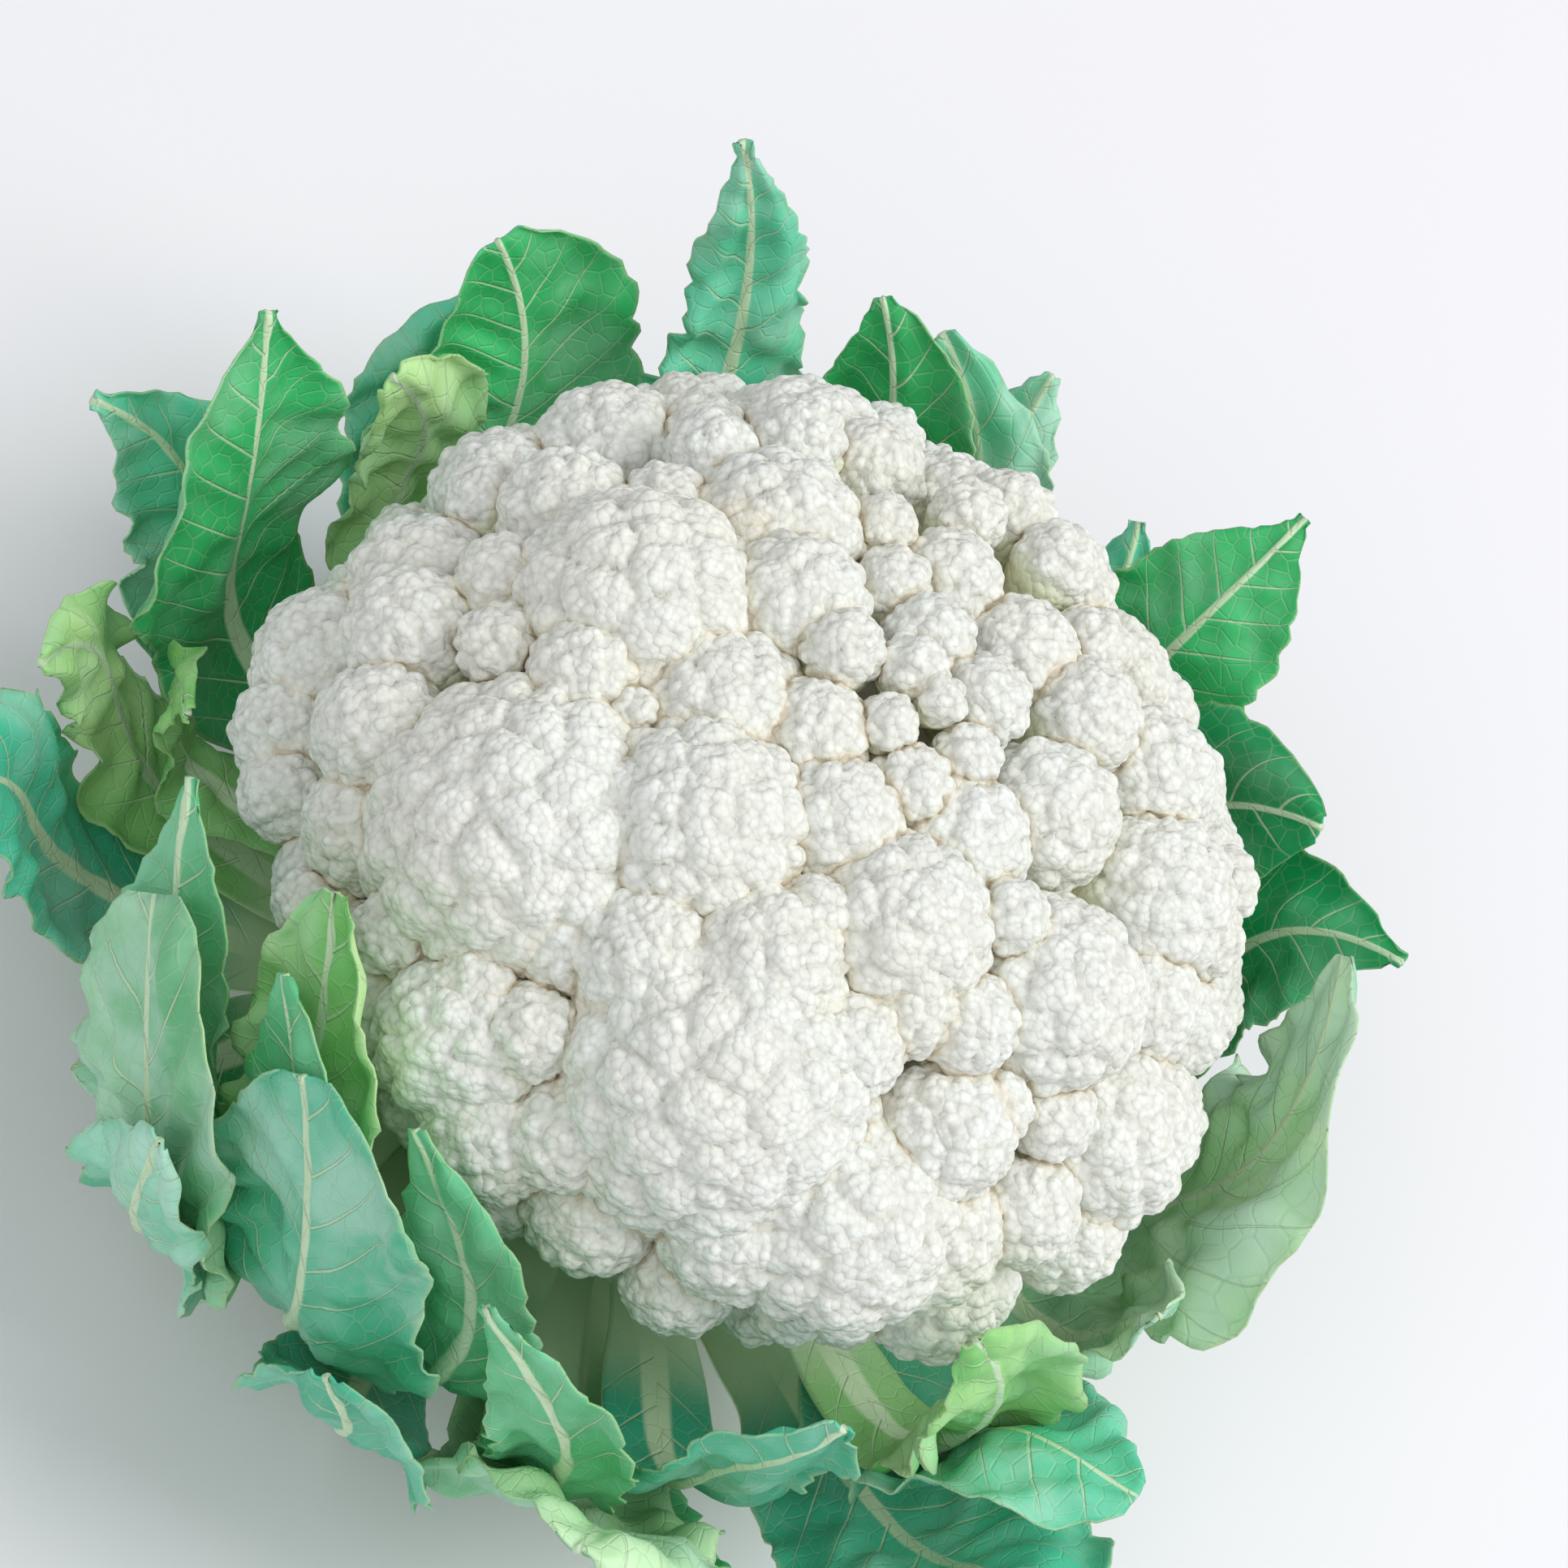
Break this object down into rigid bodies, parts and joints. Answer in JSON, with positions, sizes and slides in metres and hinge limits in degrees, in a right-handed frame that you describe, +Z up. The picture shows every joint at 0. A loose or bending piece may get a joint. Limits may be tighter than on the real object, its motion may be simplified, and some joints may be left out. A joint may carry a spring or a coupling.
{
  "type": "cauliflower",
  "caption": "A whole white cauliflower head: a domed curd of crowded florets on a cut stalk, ringed by jagged green wrapper leaves; stands on its stalk.",
  "frame": {"origin": "the middle of the stalk's cut face, at the object's base, on which the head stands", "axes": "+Z up through the curd's crown; +Y away from the picture's viewer, +X to the viewer's right"},
  "size_m": [0.2536, 0.2552, 0.1532],
  "materials": {
    "curd": null,
    "stalk": null,
    "leaf": null
  },
  "bodies": {
    "root": {"curd": "curd", "stalk": "stalk", "leaf_dark_right": "leaf", "leaf_back_right": "leaf", "leaf_pale_inner": "leaf", "leaf_small_left": "leaf", "leaf_ruffled_front": "leaf", "leaf_green_front": "leaf", "leaf_ruffled_right": "leaf", "leaf_low_right": "leaf", "leaf_pale_right": "leaf", "leaf_pointed_right": "leaf", "leaf_tall_back": "leaf", "leaf_big_left": "leaf", "leaf_jagged_left": "leaf", "leaf_folded_left": "leaf", "leaf_teal_fold": "leaf", "leaf_far_right": "leaf", "leaf_strap_back": "leaf", "leaf_broad_back": "leaf", "leaf_rolled_front": "leaf", "leaf_small_front": "leaf", "leaf_gray_right": "leaf", "leaf_lobe_back": "leaf", "leaf_far_left": "leaf", "leaf_pale_left": "leaf", "leaf_white_curl": "leaf", "leaf_gray_front": "leaf", "leaf_base_right": "leaf", "leaf_base_back": "leaf", "leaf_base_left": "leaf", "leaf_long_left": "leaf", "leaf_spotted_left": "leaf", "leaf_dark_front": "leaf", "leaf_bright_front": "leaf", "leaf_big_front": "leaf"}
  },
  "joints": []
}
